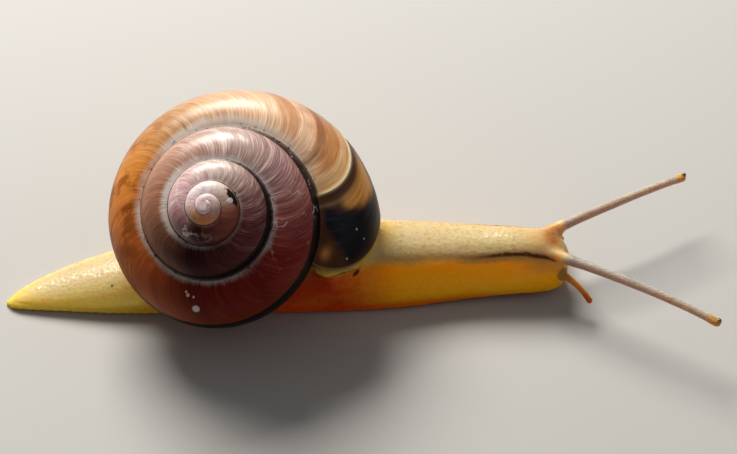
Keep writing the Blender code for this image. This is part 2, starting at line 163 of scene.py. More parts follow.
class Recipe:
    """A node tree, for a finish or for a mesh, written one node at a time."""

    def __init__(self, tree):
        self.tree = tree

    def node(self, kind, settings=None, sockets=None, output=0):
        """Adds a node, and gives one of its outputs, or the node itself for None."""
        made = self.tree.nodes.new(kind)
        for name, setting in (settings or {}).items():
            if name == "stops":
                lay_stops(made.color_ramp, setting)
            else:
                setattr(made, name, setting)
        for name, value in (sockets or {}).items():
            feed(socket_named(made.inputs, name), value)
        if output is None:
            return made
        return Value(socket_named(made.outputs, output))

    def parts(self, vector):
        """The three parts of a vector."""
        made = self.node("ShaderNodeSeparateXYZ", None, {"Vector": vector}, None)
        return [Value(socket) for socket in made.outputs]

    def vector(self, x=0.0, y=0.0, z=0.0):
        return self.node("ShaderNodeCombineXYZ", None, {"X": x, "Y": y, "Z": z})

    def bent(self, vector, scale, reach):
        """A vector pushed about by a coarse noise, so that a pattern on it isn't straight."""
        push = self.node("ShaderNodeTexNoise", None, {"Vector": vector, "Scale": scale}, "Color")
        return self.node("ShaderNodeVectorMath", {"operation": "MULTIPLY_ADD"},
                         {0: push, 1: (reach, reach, reach), 2: vector})

    def noise(self, vector, scale, detail, roughness, dimensions):
        return self.node("ShaderNodeTexNoise", {"noise_dimensions": dimensions},
                         {"Vector": vector, "Scale": scale, "Detail": detail,
                          "Roughness": roughness})

    def kept(self, name):
        """A number that the mesh keeps under a name."""
        return self.node("GeometryNodeInputNamedAttribute", {"data_type": "FLOAT"}, {"Name": name})

    def end_with(self, mesh, material):
        """Ends a mesh tree: its instances made real, and its material set."""
        mesh = self.node("GeometryNodeRealizeInstances", None, {"Geometry": mesh})
        mesh = self.node("GeometryNodeSetMaterial", None,
                         {"Geometry": mesh, "Material": bpy.data.materials[material]})
        result = self.node("NodeGroupOutput", None, None, None)
        self.tree.links.new(mesh.socket, result.inputs[0])
        return self.tree


def lay_stops(ramp, stops):
    """Sets a colour ramp's places and colours."""
    while len(ramp.elements) > 1:
        ramp.elements.remove(ramp.elements[-1])
    ramp.elements[0].position = stops[0][0]
    for place, _ in stops[1:]:
        ramp.elements.new(place)
    for element, (_, colour) in zip(ramp.elements, stops):
        element.color = (*colour, 1.0)


def new_tree(name, sizes, takes_mesh=False):
    """A mesh tree with a named input for each size, as its recipe and its inputs."""
    tree = bpy.data.node_groups.new(name, "GeometryNodeTree")
    if takes_mesh:
        tree.interface.new_socket("Mesh", in_out="INPUT", socket_type="NodeSocketGeometry")
    for size in sizes:
        tree.interface.new_socket(size, in_out="INPUT", socket_type="NodeSocketFloat")
    tree.interface.new_socket("Mesh", in_out="OUTPUT", socket_type="NodeSocketGeometry")
    make = Recipe(tree)
    given = make.node("NodeGroupInput", None, None, None)
    return make, {socket.name: Value(socket) for socket in given.outputs if socket.name}


def arc_of(turn, growth, early):
    """A measure that grows with the shell, so that patterns on it keep to its scale."""
    return (turn * growth - turn * turn * early).exp() * ARC_SCALE


def slanted(turn, across, slant):
    """The turn at which a place lies, as growth lines trail back from the suture."""
    return turn - slant * 2.0 * (across * (math.pi / 4.0)).sine() ** 2.0


def shell_patches(make, sizes):
    """Flat grids for the top, the base, the mouth's lining and the lip's rim, as one mesh."""
    wall = sizes["Wall"]
    top_columns = round(SHELL_SIZES["Turns"] * COLUMNS)
    lined = round(SHELL_SIZES["Mouth depth"] * COLUMNS)

    def patch(columns, rows, width, where):
        """A grid whose points are (turn, across, inset), with its own rule for them."""
        height = rows / ROWS
        grid = make.node("GeometryNodeMeshGrid", None, {
            "Vertices X": columns + 1, "Vertices Y": rows + 1,
            "Size X": width, "Size Y": height}, None)
        along, over, _ = make.parts(make.node("GeometryNodeInputPosition"))
        turn, across, inset, drop, inside = where(along + width / 2.0, over + height / 2.0)
        mesh = Value(grid.outputs["Mesh"])
        for name, value in (("drop", drop), ("inside", inside)):
            mesh = make.node("GeometryNodeStoreNamedAttribute", {"data_type": "FLOAT"},
                             {"Geometry": mesh, "Name": name, "Value": value})
        return make.node("GeometryNodeSetPosition", None,
                         {"Geometry": mesh, "Position": make.vector(turn, across, inset)})

    def taper(across):
        return across.rise(0.0, 0.15) * across.rise(2.0, 1.75)

    def seam(turn):
        return sizes["Seam"] * turn.rise(0.0, -SEAM_LENGTH)

    def top(along, over):
        return along - top_columns * STEP, over, 0.0, 0.0, 0.0

    def base(along, over):
        return along - BASE_COLUMNS * STEP, over + 1.0, 0.0, 0.0, 0.0

    def lining(along, over):
        turn = along - lined * STEP
        return turn, over, wall * taper(over), seam(turn) * (1.0 - over).most(0.0), 1.0

    def older(along, over):
        turn = along - lined * STEP
        return turn - BASE_COLUMNS * STEP, over + 1.0, 0.0, seam(turn) * (1.0 - over), 1.0

    def rim(along, over):
        bulge = (along * (math.pi / RIM_WIDTH)).sine() * RIM_BULGE
        share = along / RIM_WIDTH
        return bulge * taper(over), over, wall * taper(over) * share, 0.0, share

    patches = [
        patch(top_columns, ROWS, top_columns * STEP, top),
        patch(BASE_COLUMNS, ROWS, BASE_COLUMNS * STEP, base),
        patch(lined, 2 * ROWS, lined * STEP, lining),
        patch(lined, ROWS, lined * STEP, older),
        patch(RIM_COLUMNS, 2 * ROWS, RIM_WIDTH, rim),
    ]
    joined = make.node("GeometryNodeJoinGeometry", None, None, None)
    for mesh in reversed(patches):
        make.tree.links.new(mesh.socket, joined.inputs[0])
    return Value(joined.outputs[0])


def shell_relief(make, sizes, turn, across):
    """Height of the ridges along the growth lines, none at the sutures, and of the rest's."""
    arc = arc_of(turn, sizes["Growth"], sizes["Early growth"])
    fine = make.noise(make.vector(arc, across * 0.7), 2.2, 2.0, 0.6, "2D")
    broad = make.noise(make.vector(arc, across * 0.4), 0.22, 1.0, 0.5, "2D")
    bare_from = -BASE_COLUMNS * STEP
    bare_line = turn.rise(bare_from, bare_from + 0.1)
    by_line = abs(across - 1.0).rise(0.0, 0.12)
    window = across.rise(0.0, 0.16) * across.rise(2.0, 1.7)
    window = window * (by_line + (1.0 - by_line) * bare_line) * turn.rise(0.0, -0.006)
    ridges = (fine - 0.5) * 2.0 * sizes["Ridges"] + (broad - 0.5) * 3.0 * sizes["Ridges"]
    rest = turn.hump(REST_AT, 0.0028) - 0.5 * turn.hump(REST_AT + 0.006, 0.003)
    return (ridges + sizes["Rest ridge"] * rest) * window


def coiled(make, sizes, turn, across, inset, drop, relief):
    """Where the coil puts a patch's point: its axis is Z, and its apex is up."""
    back = slanted(turn, across, sizes["Slant"])
    scale = sizes["Suture radius"]
    slope = sizes["Spire slope"] * scale
    dome = sizes["Spire dome"]
    # the suture's radius and depth
    grown = sizes["Growth"] * back - sizes["Early growth"] * back * back
    near = scale * grown.exp()
    depth = slope * (grown * dome).exp()
    # the widest line's: it is the next whorl's suture, until the last turn
    ahead = back + 1.0
    past = ahead.most(0.0)
    before = ahead.least(0.0)
    early = sizes["Growth"] * ahead - sizes["Early growth"] * before * before
    wide = scale * (early - sizes["Last slowing"] * past * past
                    + sizes["Lip flare"] * past * past * past).exp()
    level = slope * (early * dome - sizes["Last lift"] * past * past).exp()
    # a quarter oval from the suture to the widest line, then the round base
    upper = across.least(1.0) * (math.pi / 2.0)
    lower = (across - 1.0).most(0.0) * sizes["Base arc"]
    bend = wide / (1.0 - sizes["Base arc"].cosine())
    out = near + (wide - near) * upper.sine() + bend * (lower.cosine() - 1.0)
    down = level - (level - depth) * upper.cosine() + sizes["Base depth"] * wide * lower.sine()
    # the wall's thickness and the relief run towards the middle of the tube
    to_middle = wide * sizes["Mouth out"] - out
    to_level = level + wide * sizes["Mouth down"] - down
    reach = (to_middle * to_middle + to_level * to_level).root()
    pull = (inset - relief) / reach
    out = (out + to_middle * pull).most(0.0)
    down = down + to_level * pull + drop
    round_axis = LIP_TURN - back * (2.0 * math.pi)
    return make.vector(out * round_axis.cosine(), out * round_axis.sine(), -down)


def shell_tree():
    """Flat patches of growth lines, which one rule then coils."""
    make, sizes = new_tree("shell_coil", SHELL_SIZES)
    mesh = shell_patches(make, sizes)
    turn, across, inset = make.parts(make.node("GeometryNodeInputPosition"))
    drop, inside = make.kept("drop"), make.kept("inside")
    mesh = make.node("GeometryNodeStoreNamedAttribute",
                     {"data_type": "FLOAT2", "domain": "CORNER"},
                     {"Geometry": mesh, "Name": "growth",
                      "Value": make.vector(turn, across + inside * INNER)})
    relief = shell_relief(make, sizes, turn, across) * (1.0 - inside)
    mesh = make.node("GeometryNodeSetPosition", None,
                     {"Geometry": mesh,
                      "Position": coiled(make, sizes, turn, across, inset, drop, relief)})
    mesh = make.node("GeometryNodeMergeByDistance", None,
                     {"Geometry": mesh, "Distance": MERGE_WITHIN})
    mesh = make.node("GeometryNodeSetShadeSmooth", None, {"Geometry": mesh})
    return make.end_with(mesh, "coiled_lime")


class Coat:
    """A material whose colour is laid on in layers, over patterns that the layers share."""

    def __init__(self, name):
        self.material = bpy.data.materials.new(name)
        self.material.use_nodes = True
        self.shader = self.material.node_tree.nodes["Principled BSDF"]
        self.make = Recipe(self.material.node_tree)
        self.place = self.make.node("ShaderNodeTexCoord", None, None, "Object")

    def noise(self, vector, scale, detail, roughness):
        return self.make.noise(vector, scale, detail, roughness, "3D")

    def mix(self, share, first, second, blend="MIX"):
        """The first colour where share is 0, the second, or both blended, where it is 1."""
        return self.make.node("ShaderNodeMix", {"data_type": "RGBA", "blend_type": blend},
                              {"Factor": share, "A": first, "B": second}, "Result")

    def lay(self, share, colour, blend="MIX"):
        """Lays one more colour on, as strongly as its share says."""
        self.colour = self.mix(share, self.colour, colour, blend)

    def finish(self, sockets):
        """Sets the shader's sockets to numbers and colours, or links what varies to them."""
        for name, value in sockets.items():
            feed(self.shader.inputs[name], value)

    def bump(self, height, strength, distance):
        return self.make.node("ShaderNodeBump", None, {"Height": height, "Strength": strength,
                                                       "Distance": distance})


# colours by turn: 0 is the lip, and each whole turn back lies one whorl further in.
# The dark stops on each whorl's lower, front side (near -0.78, -1.75, -2.75) are partly
# painted shade, and the light stops on its upper, back side, towards the key light
# (near -0.18, -1.25, -2.25), partly painted highlight.
WHORL_COLOURS_WITH_SHADE = (
    (-5.20, (0.70, 0.56, 0.54)),
    (-4.20, (0.66, 0.50, 0.49)),
    (-3.98, (0.52, 0.33, 0.27)),
    (-3.80, (0.62, 0.24, 0.105)),
    (-3.68, (0.48, 0.24, 0.12)),
    (-3.58, (0.62, 0.42, 0.39)),
    (-3.45, (0.66, 0.55, 0.57)),
    (-3.25, (0.62, 0.53, 0.50)),
    (-3.10, (0.45, 0.28, 0.22)),
    (-3.02, (0.30, 0.095, 0.065)),
    (-2.75, (0.046, 0.003, 0.004)),
    (-2.50, (0.60, 0.38, 0.385)),
    (-2.25, (0.43, 0.33, 0.29)),
    (-2.05, (0.17, 0.042, 0.042)),
    (-1.75, (0.026, 0.001, 0.001)),
    (-1.55, (0.32, 0.15, 0.090)),
    (-1.42, (0.38, 0.21, 0.15)),
    (-1.25, (0.38, 0.27, 0.24)),
    (-1.15, (0.29, 0.155, 0.15)),
    (-1.06, (0.28, 0.075, 0.065)),
    (-0.98, (0.21, 0.018, 0.014)),
    (-0.78, (0.125, 0.005, 0.001)),
    (-0.64, (0.40, 0.11, 0.030)),
    (-0.50, (0.58, 0.235, 0.045)),
    (-0.40, (0.37, 0.20, 0.090)),
    (-0.28, (0.56, 0.36, 0.225)),
    (-0.18, (0.72, 0.48, 0.32)),
    (-0.13, (0.74, 0.45, 0.22)),
    (-0.08, (0.34, 0.18, 0.050)),
    (0.00, (0.13, 0.050, 0.018)),
)
# where the dark band starts below the suture, by turn
BAND_START = (
    (-5.20, 0.95), (-2.40, 0.92), (-2.22, 0.82), (-2.05, 0.69), (-1.90, 0.66), (-1.72, 0.78),
    (-1.50, 0.93), (-1.30, 0.92), (-1.20, 0.79), (-1.12, 0.70), (-1.02, 0.68), (-0.92, 0.73),
    (-0.80, 0.75), (-0.62, 0.78), (-0.50, 0.82), (-0.38, 0.90), (0.0, 0.90),
)
# how pale the shell is below the suture, by turn
SUTURE_PALENESS = (
    (-5.20, 0.0), (-3.00, 0.15), (-2.50, 0.45), (-2.25, 0.40), (-2.00, 0.35), (-1.85, 0.45),
    (-1.66, 0.65), (-1.50, 0.85), (-1.35, 0.60), (-1.15, 0.55), (-1.02, 0.75), (-0.92, 0.50),
    (-0.75, 0.70), (-0.62, 0.80), (-0.50, 0.80), (-0.38, 0.70), (-0.25, 0.45), (-0.13, 0.30),
    (0.0, 0.20),
)
# pale and warm streak colours: partly real pale streaks, partly painted glare
PALE_STREAK_AND_GLARE = (0.84, 0.75, 0.68)
WARM_STREAK_AND_GLARE = (0.84, 0.66, 0.46)
DARK_LINE = (0.50, 0.26, 0.18)
BROAD_STREAK = (0.58, 0.36, 0.18)
SUTURE_PALE = (0.64, 0.60, 0.57)
SUTURE_DARK = (0.045, 0.030, 0.026)
MOTTLE = (0.24, 0.065, 0.008)
BAND_DARK = (0.006, 0.004, 0.004)
LINING = (0.50, 0.38, 0.20)
MOUTH_GREEN = (0.46, 0.36, 0.070)
LIP_PALE = (0.42, 0.33, 0.17)
LIP_RED = (0.16, 0.035, 0.012)
REST_PALE = (0.80, 0.70, 0.46)
REST_BROWN = (0.085, 0.030, 0.010)
NEW_BROWN = (0.60, 0.29, 0.070)
NEW_BLACK = (0.006, 0.006, 0.009)
# painted blue reflection, streaked over the new strip's black patch
SHEEN_BLUE_PAINTED = (0.020, 0.025, 0.065)
# pale specks: turn, across, radius, strength
SPECKS = (
    (-0.775, 0.44, 0.27, 0.75),
    (-0.770, 0.25, 0.14, 0.7),
    (-0.767, 0.21, 0.09, 0.8),
    (-0.781, 0.26, 0.10, 0.6),
    (-3.100, 0.44, 0.15, 0.9),
    (-0.043, 0.44, 0.10, 0.6),
    (-0.024, 0.55, 0.08, 0.6),
    (-0.012, 0.36, 0.08, 0.8),
    (-0.173, 0.21, 0.08, 0.8),
)
CHIP = (-3.0948, 0.68, 0.50, 0.21)   # by the apex: turn, across, half sizes along and across
ARC_ROUND = 0.106                # radius at the widest line / arc
ARC_ACROSS = 0.074               # width from suture to widest line / arc
# the stretches on each whorl's upper, back side, towards the key light, where the pale
# streaks are partly painted glare: middle and width in turns
GLARE_STRETCHES = ((-0.22, 0.14), (-1.24, 0.17), (-2.25, 0.20))


def shell_patterns(on):
    """Where a place lies in the shell's growth, and the noises that its colours share."""
    make = on.make
    on.turn, on.across, _ = make.parts(make.node("ShaderNodeUVMap", {"uv_map": "growth"}))
    on.arc = arc_of(on.turn, SHELL_SIZES["Growth"], SHELL_SIZES["Early growth"])
    on.streaks = on.noise(make.vector(on.arc, on.across * 0.45), 1.9, 3.0, 0.65)
    on.lines = on.noise(make.vector(on.arc, on.across * 0.22), 12.0, 2.0, 0.6)
    on.broad = on.noise(make.vector(on.arc, on.across * 0.30), 0.62, 2.0, 0.5)
    on.clouds = on.noise(on.place, 230.0, 4.0, 0.55)
    on.mottle = on.noise(on.place, 650.0, 3.0, 0.6)
    on.dirt = on.noise(on.place, 2600.0, 2.0, 0.6)
    # how much a place lies in those stretches, where the pale streaks are partly painted glare
    on.streaky = 0.03 + 0.97 * sum(on.turn.hump(*stretch) for stretch in GLARE_STRETCHES).least(1.0)


def by_turn(on, stops):
    """Colours that change from turn to turn."""
    turns = SHELL_SIZES["Turns"]
    places = [((at + turns) / turns, tint) for at, tint in stops]
    return on.make.node("ShaderNodeValToRGB", {"stops": places},
                        {"Fac": (on.turn + turns) / turns}, "Color")


def number_by_turn(on, stops):
    """A number that changes from turn to turn."""
    return on.make.parts(by_turn(on, [(at, (number,) * 3) for at, number in stops]))[0]


def lay_whorls(on):
    """Each whorl's colour, partly painted shade and highlight, with its streaks, partly painted
    glare, its growth lines and rubbed patches.
    """
    turn, across, streaks, lines = on.turn, on.across, on.streaks, on.lines
    # each whorl's colour by turn, with its painted shade and painted highlight
    on.colour = by_turn(on, WHORL_COLOURS_WITH_SHADE)
    # pale streaks, partly real and, in the stretches towards the key light, partly painted glare
    pale = (streaks - 0.48).rise(0.0, 0.25) * 0.30 + (lines - 0.49).rise(0.0, 0.22) * 0.42
    lightened = on.mix(turn.rise(-1.05, -0.95), PALE_STREAK_AND_GLARE, WARM_STREAK_AND_GLARE)
    on.lay(pale * on.streaky, lightened)
    brightness = 0.40 + streaks * 0.70 + lines * 0.50
    on.colour = on.make.node("ShaderNodeVectorMath", {"operation": "SCALE"},
                             {"Vector": on.colour, "Scale": brightness})
    dark = (lines - 0.48).rise(0.0, -0.22) * 0.40 * (0.3 + 0.7 * on.streaky)
    on.lay(dark, DARK_LINE, "MULTIPLY")
    deeper = on.broad.rise(0.46, 0.56) * turn.rise(-0.30, -0.18) * across.rise(0.05, 0.3)
    on.lay(deeper * 0.75, BROAD_STREAK, "MULTIPLY")
    patchy = turn.hump(-0.55, 0.16) * across.rise(1.0, 0.8)
    on.lay(on.mottle.rise(0.45, 0.62) * patchy * 0.85, MOTTLE)
    on.lay(on.clouds.rise(0.48, 0.26) * 0.5, DARK_LINE, "MULTIPLY")
    on.lay(across.rise(0.50, 0.80) * turn.rise(-0.98, -0.9) * 0.35, MOTTLE)


def rubbed_edge(on):
    """How rubbed and pale the shell is, below each suture."""
    turn, across = on.turn, on.across
    wider = turn.hump(-1.52, 0.20) * 0.08 + turn.hump(-0.33, 0.16) * 0.10
    reach = 0.045 + wider + (on.mottle - 0.5) * 0.16 + (on.lines - 0.5) * 0.10
    edge = across.rise(reach + 0.08, reach - 0.04)
    paleness = number_by_turn(on, SUTURE_PALENESS)
    return edge * paleness * (1.0 - turn.rise(REST_AT - 0.03, REST_AT))


def lay_sutures(on, edge):
    """The pale, rubbed edge below each suture, and a dark, speckled line along the suture."""
    across = on.across
    worn = 0.35 + on.clouds.rise(0.32, 0.60) * 0.65
    on.lay((edge * worn * (0.75 + on.lines * 0.5)).least(0.92), SUTURE_PALE)
    seam = across.rise(0.036, 0.016) * 0.85 + across.rise(0.10, 0.03) * on.dirt.rise(0.58, 0.66) * 0.7
    on.lay(seam * on.turn.rise(-4.3, -3.2), SUTURE_DARK)


def lay_band(on):
    """The dark band on the widest line, with chips of white in its widest stretch."""
    turn, across = on.turn, on.across
    start = number_by_turn(on, BAND_START) + (on.streaks - 0.5) * 0.03
    band = across.rise(start, start + 0.035) * across.rise(1.07, 1.03) * turn.rise(-3.2, -2.6)
    on.lay(band * 0.98, BAND_DARK)
    chips = on.dirt.rise(0.62, 0.70) * band * turn.hump(-1.10, 0.06)
    on.lay(chips * 0.8, SUTURE_PALE)


def new_strip(on):
    """The colours of the new strip: brown by the rest, then a tan patch and a black one with a
    painted blue sheen.
    """
    turn, across, streaks, lines = on.turn, on.across, on.streaks, on.lines
    after = turn - REST_AT
    wander = (on.clouds - 0.5) * 0.014 + (streaks - 0.5) * 0.010
    border = across * 0.060 - 0.094 + wander
    tan = turn.rise(-0.098, -0.080) * (turn - border).rise(0.006, -0.010)
    tan = tan * across.rise(0.22, 0.36) * across.rise(0.98, 0.80)
    tan = (tan * (0.05 + streaks * 1.1 + lines * 0.6)).least(1.0)
    spot = turn.hump(-0.020, 0.010) * across.hump(0.10, 0.06)
    bare = on.mix((tan + spot * 0.7).least(1.0), REST_BROWN, NEW_BROWN)
    bare = on.mix(after.hump(0.008, 0.004) * 0.85, bare, REST_BROWN)
    bare = on.mix(after.hump(0.018, 0.0035) * across.rise(0.62, 0.3) * 0.12, bare, REST_PALE)
    end = ((across - 0.07) * 0.15 - 0.053).least(-0.003) - turn - wander
    blot = (turn - border).rise(-0.006, 0.010) * end.rise(-0.008, 0.014)
    blot = blot * across.rise(0.03, 0.09) * across.rise(1.10, 0.80)
    # painted sheen: streaks of painted blue reflection over the upper part of the black patch
    painted_sheen = (lines - 0.45).rise(0.0, 0.2) * across.rise(0.4, 0.1)
    black = on.mix(painted_sheen * 0.8, NEW_BLACK, SHEEN_BLUE_PAINTED)
    return on.mix(blot * 0.97, bare, black)


def lay_new_strip(on):
    """The new strip, the pale line of the rest, and the lip's own colours."""
    turn, across = on.turn, on.across
    on.lay(turn.above(REST_AT) * across.rise(1.5, 1.4), new_strip(on))
    before = across.rise(1.3, 1.1)
    rest = (turn - REST_AT).hump(-0.001, 0.0034) * before * (0.35 + across.rise(0.0, 0.6) * 0.35)
    on.lay(rest, REST_PALE)
    on.lay(turn.hump(-0.165, 0.006) * before * 0.55, REST_BROWN)
    near_lip = turn.rise(-0.034, -0.012) * across.hump(1.30, 0.42)
    on.lay(near_lip * 0.8, LIP_RED)
    lip = turn.rise(-0.0026, -0.0014) * across.rise(1.9, 1.7)
    on.lay(lip * (0.35 + 0.45 * across.rise(0.7, 1.1)), LIP_PALE)


def lay_marks(on):
    """The chip by the apex, the pale specks, and fine scratches."""
    turn, across, arc, dirt = on.turn, on.across, on.arc, on.dirt
    slant = SHELL_SIZES["Slant"]
    back = slanted(turn, across, slant)

    def oval(at, over, length, height):
        """0 in the middle of an oval mark, 1 on its edge, and more outside."""
        middle = at - slant * 2.0 * math.sin(over * math.pi / 4.0) ** 2
        wide = (back - middle) * arc * (2.0 * math.pi * ARC_ROUND) / length
        tall = (across - over) * arc * (ARC_ACROSS / height)
        return wide * wide + tall * tall

    chip = (oval(*CHIP) + (dirt - 0.5) * 3.0).rise(1.5, 0.8)
    on.lay(chip * 0.97, BAND_DARK)
    for at, over, radius, strength in SPECKS:
        on.lay(oval(at, over, radius, radius).rise(1.5, 0.6) * strength, SUTURE_PALE)
    mark = on.make.node("ShaderNodeTexVoronoi", {"feature": "DISTANCE_TO_EDGE"},
                        {"Vector": on.make.bent(on.place, 700.0, 0.0016), "Scale": 560.0})
    fine = mark.rise(0.030, 0.008) * on.mottle.rise(0.50, 0.58) * turn.hump(-1.04, 0.07)
    marbled = mark.rise(0.10, 0.02) * dirt.rise(0.40, 0.52)
    marbled = marbled * turn.hump(-2.60, 0.16) * across.hump(0.45, 0.30)
    on.lay((fine * 0.55 + marbled).least(0.85), SUTURE_PALE)


def shell_finish():
    on = Coat("coiled_lime")
    shell_patterns(on)
    lay_whorls(on)
    edge = rubbed_edge(on)
    lay_sutures(on, edge)
    lay_band(on)
    lay_new_strip(on)
    lay_marks(on)
    on.lay(on.across.rise(2.0, 2.1) * on.turn.above(-0.001), MOUTH_GREEN)
    on.lay(on.across.rise(2.6, 3.2) * on.turn.rise(0.0005, -0.002), LINING)
    on.finish({
        "Base Color": on.colour,
        "Roughness": 0.22 + on.lines * 0.16 + on.clouds * 0.10 + edge * 0.15,
        "Coat Weight": (on.streaky * (0.15 + on.lines * 0.80)).least(0.8),
        "Coat Roughness": 0.30,
        "Specular IOR Level": 0.15,
        "Normal": on.bump(on.streaks * 0.5 + on.lines * 0.5, 0.5, 0.00007),
    })


def apply_modifiers(thing):
    """Makes an object's mesh what its modifiers make of it, and removes them."""
    bpy.context.view_layer.update()
    seen = thing.evaluated_get(bpy.context.evaluated_depsgraph_get())
    mesh = bpy.data.meshes.new_from_object(seen)
    thing.modifiers.clear()
    thing.data = mesh
    mesh.name = thing.name


def apply_tree(thing, tree, values):
    """Puts a mesh tree on an object, sets its named inputs, and applies it."""
    modifier = thing.modifiers.new("tree", "NODES")
    modifier.node_group = tree
    for item in tree.interface.items_tree:
        if item.in_out == "INPUT" and item.name in values:
            modifier[item.identifier] = values[item.name]
    apply_modifiers(thing)


def placed(name, mesh):
    """A new object in the scene, at the origin."""
    thing = bpy.data.objects.new(name, mesh)
    bpy.context.scene.collection.objects.link(thing)
    return thing


shell_finish()
shell = placed("snail_shell", bpy.data.meshes.new("seed"))
apply_tree(shell, shell_tree(), SHELL_SIZES)
# the inner end of the mouth is closed, and the coil is set on its axis
work = bmesh.new()
work.from_mesh(shell.data)
open_edges = [edge for edge in work.edges if edge.is_boundary]
bmesh.ops.holes_fill(work, edges=open_edges, sides=0)
bmesh.ops.recalc_face_normals(work, faces=work.faces)
work.to_mesh(shell.data)
work.free()
up = SHELL_AXIS.normalized()
side = Vector((up.z, 0.0, -up.x)).normalized()
turned = Matrix((side, up.cross(side), up)).transposed().to_4x4()
shell.data.transform(Matrix.Scale(MM, 4) @ Matrix.Translation(APEX) @ turned)
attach(shell, "root")
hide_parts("shell")


# ---- the skin ----------------------------------------------------------------------
# All the soft parts are one moist skin over muscle, from the tail to the tips of the
# four tentacles and the collar that fills the shell's mouth.  It is pale above, amber
# on the flanks, grey on the tentacles, and grained all over with flat tubercles.
SKIN_NODES = [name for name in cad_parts
              if name.split("_")[0] in ("tail", "trunk", "neck", "head", "mantle", "upper", "lower")]
SWELL = 0.30                     # closes the gaps between the solids
VOXEL = 0.125                    # size of the skin's mesh
SLEEK_ALL = 3                    # rounds of smoothing everywhere, which hide the solids' facets
SLEEK_BODY = 26                  # more on the body and along the tentacles
SLEEK_STALK = 1200               # more where the trunk narrows into the shell's mouth
SLEEK_CORNER = 300               # more at the collar's lowest corner
SLEEK_LEVELS = 10                # steps from no smoothing to all of it
COLLAR_ROLL = 0.62               # width of the collar's first roll, next to the shell's lip
COLLAR_WIDTH = 1.15              # and of both its rolls
COLLAR_REACH = 3.0               # how far the collar's shape and colours reach from the lip
COLLAR_ABOVE = 3.0               # the whole collar lies above this height
CORNER_X = 7.0                   # where along the body the collar's lowest corner lies
MANTLE_FADE = 0.9                # distance over which the collar passes into the skin round it
COLLAR_OUT = 0.28                # how much further out the rolls lie at its lowest corner
ROLL = 0.22                      # how far the first roll stands out
SECOND_ROLL = 0.6                # and the second, as a share of that
CREASE = 0.08                    # half width of the crease between them
EVEN_ROUNDS = 10                 # rounds of smoothing on the rolls
SLIM = 0.06                      # how far the tentacles' skin lies inside their solids
TAIL_ROUND = -15.85              # where the tail's tip starts to round off
TAIL_END = 1.5                   # length of the rounded end
TAIL_BACK = 0.28                 # how far its tip draws back
TAIL_NARROWS = 0.90              # share of the squared width that is gone at the very tip
TAIL_FLAT = 0.4                  # share of the tail's height that its rounding leaves alone
BODY_LINE = (                    # x, y of the middle, half width, height
    (-17.20, -2.05, 0.50, 0.42),
    (-15.40, -1.75, 1.16, 1.02),
    (-12.60, -1.05, 2.08, 1.68),
    (-8.80, -0.45, 2.88, 2.60),
    (-4.00, 0.00, 3.35, 3.60),
    (3.00, 0.20, 3.50, 4.90),
    (9.50, 0.30, 3.38, 5.70),
    (13.00, 0.62, 3.46, 5.00),
    (18.90, 0.84, 2.92, 4.60),
    (23.00, 0.66, 2.44, 4.75),
    (26.50, 0.42, 2.00, 4.40),
)
# root inside the head, middle of the arch, tip, radius at the root, and the share of the
# length after which the end keeps its solid's own shape: upper right and left, then lower
TENTACLE_LINES = (
    ((24.3, -0.05, 3.85), (30.8, -3.85, 4.45), (36.55, -7.30, 4.20), 0.50, 0.90),
    ((24.3, 1.55, 3.85), (30.5, 4.45, 4.50), (35.90, 7.35, 4.20), 0.50, 0.90),
    ((25.0, -0.50, 2.50), (26.7, -1.80, 2.20), (27.90, -2.95, 1.40), 0.38, 0.96),
    ((24.7, 1.40, 2.40), (25.7, 2.75, 2.00), (26.30, 3.65, 1.10), 0.38, 0.96),
)
GRAIN_SIZES = {
    "Grain": 0.36,               # width of a tubercle
    "Grain height": 0.013,
    "Stretch": 1.7,              # length of a tubercle along the body / its width
    "Foot groove": 0.70,         # height of the groove over the foot's edge
    "Groove depth": 0.05,
    "Frill pace": 9.0,           # radians of the edge's waves to a millimetre
    "Frill height": 0.02,
}


def swollen(node):
    """A copy of a node's solid, merged, with its faces moved out by the swell."""
    work = bmesh.new()
    work.from_mesh(node.data)
    bmesh.ops.remove_doubles(work, verts=work.verts, dist=1e-6)
    work.normal_update()
    places = [v.co + v.normal * (min(v.calc_shell_factor(), 1.5) * SWELL * MM) for v in work.verts]
    for vertex, place in zip(work.verts, places):
        vertex.co = place
    return work


def bare_skin():
    """One closed mesh round all the soft solids."""
    joined = bmesh.new()
    for name in SKIN_NODES:
        work = swollen(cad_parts[name])
        part = bpy.data.meshes.new("part")
        work.to_mesh(part)
        work.free()
        joined.from_mesh(part)
        bpy.data.meshes.remove(part)
    mesh = bpy.data.meshes.new("swollen")
    joined.to_mesh(mesh)
    joined.free()
    skin = placed("snail_skin", mesh)
    merge = skin.modifiers.new("merge", "REMESH")
    merge.mode = "VOXEL"
    merge.voxel_size = VOXEL * MM
    apply_modifiers(skin)
    return skin


def places_of(mesh):
    """A mesh's vertices, in millimetres."""
    flat = np.empty(len(mesh.vertices) * 3)
    mesh.vertices.foreach_get("co", flat)
    return flat.reshape(-1, 3) / MM


def set_places(mesh, places):
    mesh.vertices.foreach_set("co", (places * MM).ravel())
    mesh.update()


def normals_of(mesh):
    flat = np.empty(len(mesh.vertices) * 3)
    mesh.vertex_normals.foreach_get("vector", flat)
    return flat.reshape(-1, 3)


def ramp(values, low, high):
    """0 at low, 1 at high, smooth between."""
    share = np.clip((values - low) / (high - low), 0.0, 1.0)
    return share * share * (3.0 - 2.0 * share)


def course_of(line):
    """Points along a tentacle's middle line, which is one arch."""
    start, middle, end = (np.array(point) for point in line[:3])
    shares = np.linspace(0.0, 1.0, 400)[:, None]
    course = start * (1 - shares) * (1 - 2 * shares) + middle * 4 * shares * (1 - shares)
    return course + end * shares * (2 * shares - 1)


def finder(points):
    """A quick way to find the nearest of the points."""
    tree = KDTree(len(points))
    for index, point in enumerate(points):
        tree.insert(point, index)
    tree.balance()
    return tree


